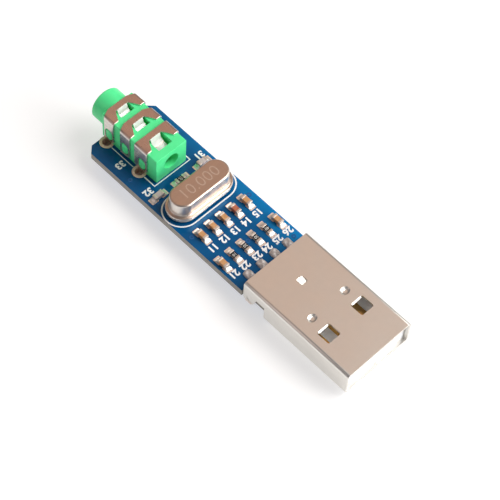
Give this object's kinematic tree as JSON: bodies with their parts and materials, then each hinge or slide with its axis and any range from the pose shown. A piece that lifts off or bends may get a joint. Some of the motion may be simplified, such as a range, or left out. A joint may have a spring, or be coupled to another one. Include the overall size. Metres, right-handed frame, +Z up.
{
  "type": "sound card module",
  "caption": "Bare USB audio stick: a metal plug, a blue circuit board with a crystal and small chips, and a green 3.5 mm jack, to give a computer a headphone outlet.",
  "frame": {"origin": "centre of the plug's mouth, in the plane of the shell's front edge", "axes": "+X out of the plug's mouth towards the socket, +Z up from the board's parts side, +Y to the left"},
  "size_m": [0.0538, 0.0122, 0.0084],
  "materials": {
    "plug_shell": "satin nickel-plated sheet",
    "plug_insulator": "white moulded plastic",
    "contact": "gold-flashed strip",
    "board": "blue glossy lacquer on glass-fibre board",
    "pad": "tinned copper",
    "solder": "bright tin solder",
    "jack_body": "green moulded plastic",
    "jack_clip": "tinned bronze sheet",
    "crystal_can": "satin nickel-plated can",
    "crystal_base": "satin nickel-plated base",
    "lead_wire": "tinned wire and strip",
    "capacitor": "tan ceramic",
    "resistor": "black glazed ceramic",
    "end_cap": "tinned end cap",
    "decoder": "black moulded epoxy",
    "legend": "white printed ink"
  },
  "bodies": {
    "root": {"capacitor_1": "capacitor", "capacitor_1_end_caps": "end_cap", "capacitor_2": "capacitor", "capacitor_2_end_caps": "end_cap", "capacitor_3": "capacitor", "capacitor_3_end_caps": "end_cap", "capacitor_4": "capacitor", "capacitor_4_end_caps": "end_cap", "capacitor_5": "capacitor", "capacitor_5_end_caps": "end_cap", "capacitor_6": "capacitor", "capacitor_6_end_caps": "end_cap", "capacitor_7": "capacitor", "capacitor_7_end_caps": "end_cap", "capacitor_8": "capacitor", "capacitor_8_end_caps": "end_cap", "capacitor_9": "capacitor", "capacitor_9_end_caps": "end_cap", "chip_solder": "solder", "circuit_board": "board", "crystal_base": "crystal_base", "crystal_can": "crystal_can", "crystal_leads": "lead_wire", "decoder_chip": "decoder", "decoder_leads": "lead_wire", "jack_body": "jack_body", "jack_clip_front": "jack_clip", "jack_clip_middle": "jack_clip", "jack_clip_rear": "jack_clip", "pin_solder": "solder", "resistor_1": "resistor", "resistor_1_end_caps": "end_cap", "resistor_2": "resistor", "resistor_2_end_caps": "end_cap", "resistor_3": "resistor", "resistor_3_end_caps": "end_cap", "resistor_4": "resistor", "resistor_4_end_caps": "end_cap", "resistor_5": "resistor", "resistor_5_end_caps": "end_cap", "tail_solder": "solder", "usb_contact_1": "contact", "usb_contact_2": "contact", "usb_contact_3": "contact", "usb_contact_4": "contact", "usb_insulator": "plug_insulator", "usb_shell": "plug_shell"}
  },
  "joints": []
}
